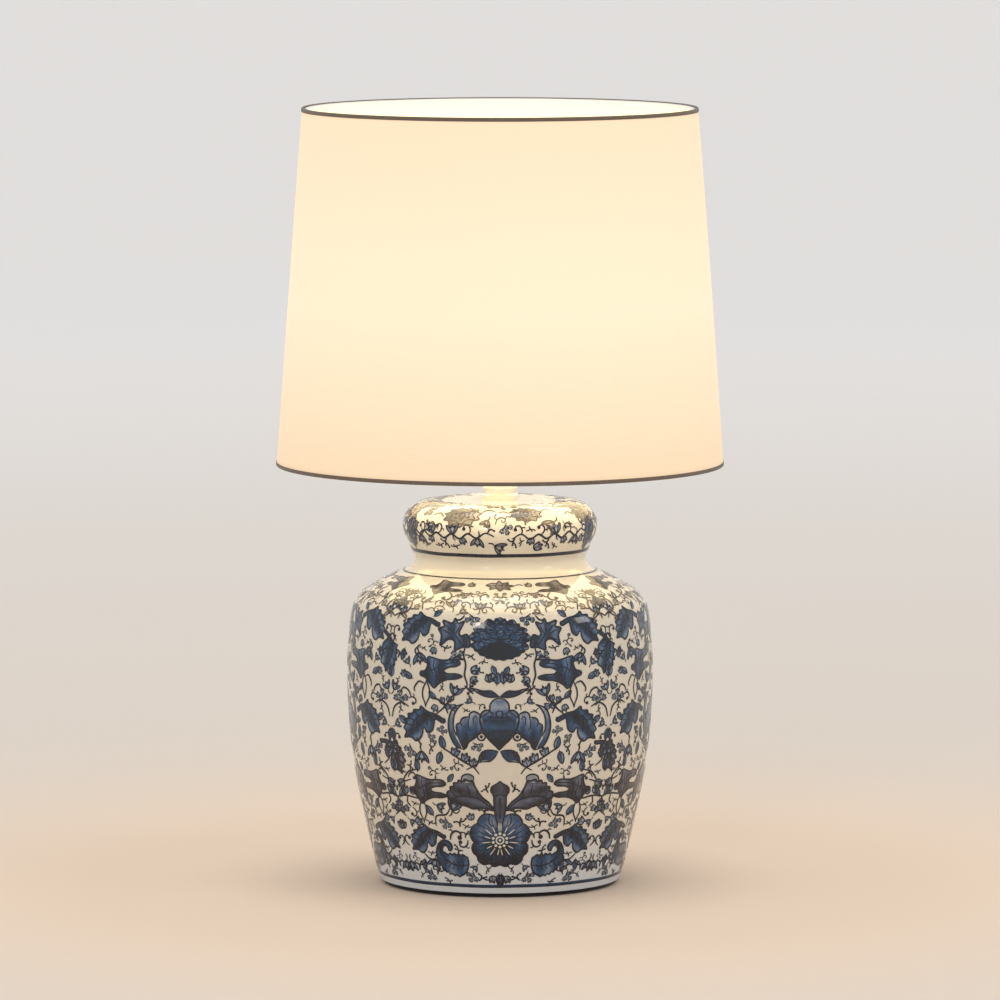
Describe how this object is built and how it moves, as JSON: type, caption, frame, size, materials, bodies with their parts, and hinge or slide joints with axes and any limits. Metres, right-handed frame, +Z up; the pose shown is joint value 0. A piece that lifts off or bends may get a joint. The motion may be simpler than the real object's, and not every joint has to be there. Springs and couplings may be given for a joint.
{
  "type": "table lamp with shade",
  "caption": "Bedside table lamp: blue floral glazed lidded jar base, plain cream tapered drum shade, screw-in opal bulb.",
  "frame": {"origin": "centre of the felt pad's underside, on the surface the lamp stands on", "axes": "+Z up the lamp's axis, -Y the front, +Y the back where the flex leaves, +X to the right"},
  "size_m": [0.3008, 0.3008, 0.522],
  "materials": {
    "felt": "felted",
    "glazed_stoneware": "gloss",
    "black_rubber": "matt",
    "plated_steel": "zinc plated",
    "white_wire": "white powder coat",
    "pale_brass": "polished",
    "contact_brass": "plain",
    "white_moulding": "gloss",
    "steatite": "matt",
    "cream_cotton": "plain weave",
    "liner_film": "satin white",
    "taupe_tape": "woven tape",
    "opal_diffuser": "opal",
    "board_aluminium": "white mask",
    "phosphor": "gloss",
    "board_laminate": "green mask",
    "nickel_shell": "nickel plated",
    "black_glass": "black vitrite",
    "solder": "solder"
  },
  "bodies": {
    "lamp": {"base_pad": "felt", "jar_body": "glazed_stoneware", "jar_lid": "glazed_stoneware", "foot_washer_rubber": "black_rubber", "cord_grommet": "black_rubber", "foot_washer_steel": "plated_steel", "foot_lock_washer": "plated_steel", "foot_nut": "plated_steel", "threaded_rod": "plated_steel", "holder_grub_screw": "plated_steel", "terminal_screws": "plated_steel", "seat_collar": "pale_brass", "check_ring": "pale_brass", "contact_center": "contact_brass", "contact_side": "contact_brass", "holder_cap": "white_moulding", "holder_sleeve": "white_moulding", "shade_ring_lower": "white_moulding", "shade_ring_upper": "white_moulding", "holder_insert": "steatite"},
    "shade": {"fitter_ring": "white_wire", "bottom_wire_ring": "white_wire", "top_wire_ring": "white_wire", "spider_arm_1": "white_wire", "spider_arm_2": "white_wire", "spider_arm_3": "white_wire", "shade_fabric": "cream_cotton", "shade_liner": "liner_film", "bottom_trim": "taupe_tape", "top_trim": "taupe_tape"},
    "bulb_tip": {"bulb_contact": "solder"},
    "bulb": {"bulb_dome": "opal_diffuser", "bulb_housing": "white_moulding", "led_board": "board_aluminium", "led_chips": "phosphor", "driver_board": "board_laminate", "bulb_cap": "nickel_shell", "bulb_insulator": "black_glass"}
  },
  "joints": [
    {"name": "shade_turn", "type": "hinge", "parent": "lamp", "child": "shade", "pos_m": [0, 0, 0.306], "axis": [0, 0, 1], "continuous": true},
    {"name": "bulb_rise", "type": "slide", "parent": "lamp", "child": "bulb_tip", "axis": [0, 0, 1], "range_m": [0, 0.0182]},
    {"name": "bulb_turn", "type": "hinge", "parent": "bulb_tip", "child": "bulb", "pos_m": [0, 0, 0.296], "axis": [0, 0, 1], "range_deg": [0, 1800]}
  ],
  "couplings": [
    {"joint": "bulb_rise", "follows": "bulb_turn", "m_per_rad": 0.00057757}
  ]
}
